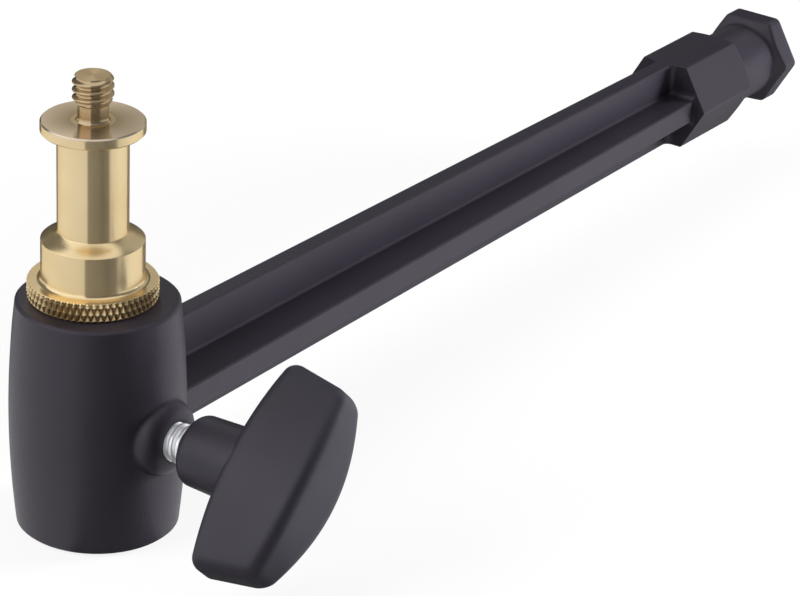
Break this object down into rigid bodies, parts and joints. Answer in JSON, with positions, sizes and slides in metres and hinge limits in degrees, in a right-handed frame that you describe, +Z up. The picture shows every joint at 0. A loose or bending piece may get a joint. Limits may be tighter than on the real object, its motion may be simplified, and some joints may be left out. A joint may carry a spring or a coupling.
{
  "type": "grip extension arm",
  "caption": "Cast arm with a hexagonal stud at one end and a clamped brass spigot standing in a barrel at the other, locked by a T-shaped knob.",
  "frame": {"origin": "on the barrel's axis at the foot of the 16 mm post, on the knurled ring's top face", "axes": "+Z up along the post, +X along the arm to the hexagonal stud; the clamp knob points to -Y"},
  "size_m": [0.2141, 0.0571, 0.0743],
  "materials": {
    "black_coat": "satin black coat on die-cast aluminium",
    "turned_brass": "turned brass with fine lathe marks and a knurled ring",
    "zinc_steel": "bright zinc-plated screw thread",
    "tip_brass": "plain turned brass",
    "knob_plastic": "matt black moulded plastic"
  },
  "bodies": {
    "arm": {"arm_casting": "black_coat"},
    "spigot_body": {"spigot": "turned_brass"},
    "tip": {"pressure_tip": "tip_brass"},
    "knob": {"knob_handle": "knob_plastic", "clamp_screw": "zinc_steel"}
  },
  "joints": [
    {"name": "spigot_swivel", "type": "hinge", "parent": "arm", "child": "spigot_body", "pos_m": [0, 0, 0], "axis": [0, 0, 1], "continuous": true},
    {"name": "tip_slide", "type": "slide", "parent": "arm", "child": "tip", "axis": [0, -1, 0], "range_m": [0, 0.00381]},
    {"name": "knob_turn", "type": "hinge", "parent": "tip", "child": "knob", "pos_m": [0, -0.0166, -0.02275], "axis": [0, -1, 0], "range_deg": [0, 1080]}
  ],
  "couplings": [
    {"joint": "tip_slide", "follows": "knob_turn", "m_per_rad": 0.00020213}
  ]
}
